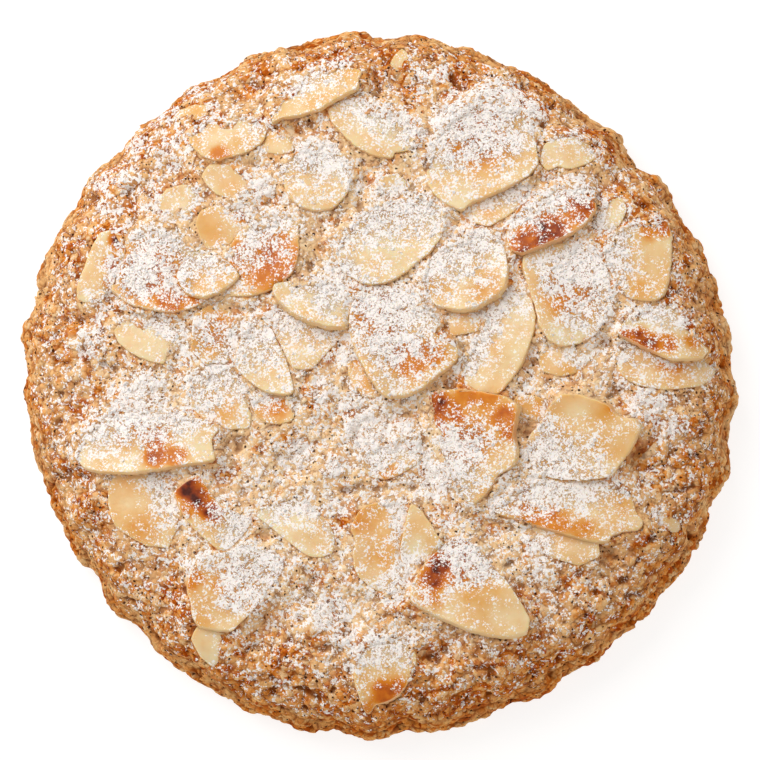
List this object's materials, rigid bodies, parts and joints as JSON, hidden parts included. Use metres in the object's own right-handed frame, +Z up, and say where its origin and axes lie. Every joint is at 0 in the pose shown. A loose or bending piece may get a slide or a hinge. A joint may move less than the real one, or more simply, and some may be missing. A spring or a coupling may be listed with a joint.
{
  "type": "lebkuchen",
  "caption": "Round domed lebkuchen of coarse nut dough with flaked almonds baked into its top, resting on a flat underside.",
  "frame": {"origin": "middle of the flat underside", "axes": "+Z up, from the underside to the domed top; +X to the right and +Y away from the viewer as the picture shows the top"},
  "size_m": [0.0966, 0.0961, 0.0178],
  "materials": {
    "baked_nut_dough": "matt, coarse baked crumb with dry almond flakes"
  },
  "bodies": {
    "root": {"lebkuchen": "baked_nut_dough"}
  },
  "joints": []
}
